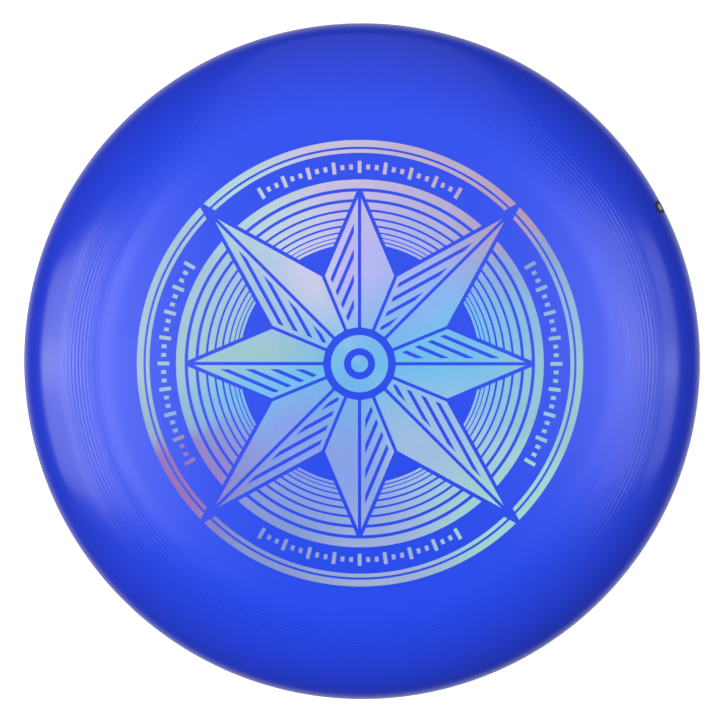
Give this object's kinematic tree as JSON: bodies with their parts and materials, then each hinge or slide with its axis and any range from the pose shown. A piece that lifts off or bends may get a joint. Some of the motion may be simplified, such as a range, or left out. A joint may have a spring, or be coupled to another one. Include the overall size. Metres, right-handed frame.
{
  "type": "flying disc",
  "caption": "Round moulded plastic throwing disc with a shallow dome, fine flight ridges, a deep rounded rim and a stamped foil compass-star print.",
  "frame": {"origin": "on the disc's axis, in the plane of the flat rim land that it rests on", "axes": "+Z along the disc's axis, out of the printed top; +X to the right and +Y to the top of the print as seen from above"},
  "size_m": [0.273, 0.273, 0.0311],
  "materials": {
    "blue_plastic": "satin",
    "foil": "satin",
    "ink": "matte"
  },
  "bodies": {
    "root": {"disc_body": "blue_plastic", "star_long_1_plain": "foil", "star_long_1_hatched": "foil", "star_short_1_plain": "foil", "star_short_1_hatched": "foil", "star_long_2_plain": "foil", "star_long_2_hatched": "foil", "star_short_2_plain": "foil", "star_short_2_hatched": "foil", "star_long_3_plain": "foil", "star_long_3_hatched": "foil", "star_short_3_plain": "foil", "star_short_3_hatched": "foil", "star_long_4_plain": "foil", "star_long_4_hatched": "foil", "star_short_4_plain": "foil", "star_short_4_hatched": "foil", "star_hub_ring": "foil", "star_hub_dot": "foil", "border_wide_1": "foil", "border_thin_1": "foil", "arc_1_1": "foil", "arc_2_1a": "foil", "arc_2_1b": "foil", "arc_3_1a": "foil", "arc_3_1b": "foil", "arc_4_1a": "foil", "arc_4_1b": "foil", "border_wide_2": "foil", "border_thin_2": "foil", "arc_1_2": "foil", "arc_2_2a": "foil", "arc_2_2b": "foil", "arc_3_2a": "foil", "arc_3_2b": "foil", "arc_4_2a": "foil", "arc_4_2b": "foil", "border_wide_3": "foil", "border_thin_3": "foil", "arc_1_3": "foil", "arc_2_3a": "foil", "arc_2_3b": "foil", "arc_3_3a": "foil", "arc_3_3b": "foil", "arc_4_3a": "foil", "arc_4_3b": "foil", "border_wide_4": "foil", "border_thin_4": "foil", "arc_1_4": "foil", "arc_2_4a": "foil", "arc_2_4b": "foil", "arc_3_4a": "foil", "arc_3_4b": "foil", "arc_4_4a": "foil", "arc_4_4b": "foil", "rim_ink_ring": "ink"}
  },
  "joints": []
}
